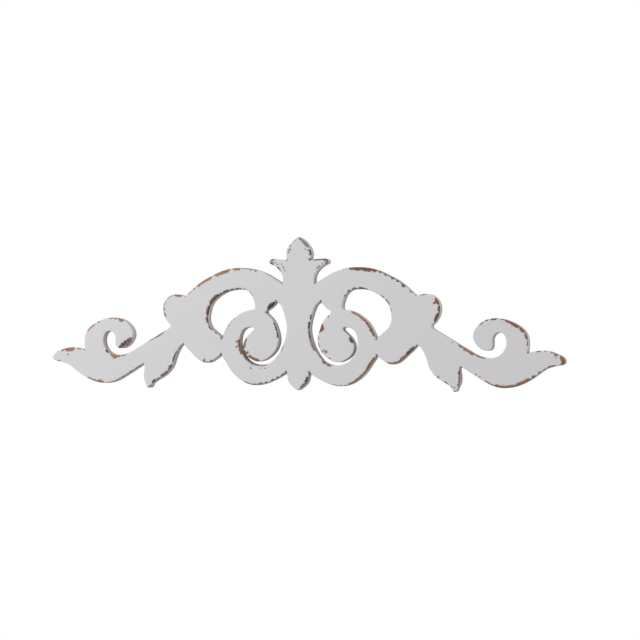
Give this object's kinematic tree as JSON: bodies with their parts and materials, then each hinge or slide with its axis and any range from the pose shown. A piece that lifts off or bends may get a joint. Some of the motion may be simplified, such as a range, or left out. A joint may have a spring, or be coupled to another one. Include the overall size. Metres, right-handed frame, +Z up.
{
  "type": "door pediment",
  "caption": "Flat scrollwork board with a central bud, arches over open scrolls and curled wings, made to be fixed flat on the wall above a door.",
  "frame": {"origin": "on the flat back face, on the centre line, at mid height", "axes": "+X to the right seen from the front, +Y into the wall, +Z up; the front face looks along -Y"},
  "size_m": [0.899, 0.0178, 0.254],
  "materials": {
    "worn_paint": "chalky off-white paint, sanded through to brown along the edges"
  },
  "bodies": {
    "root": {"pediment_board": "worn_paint"}
  },
  "joints": []
}
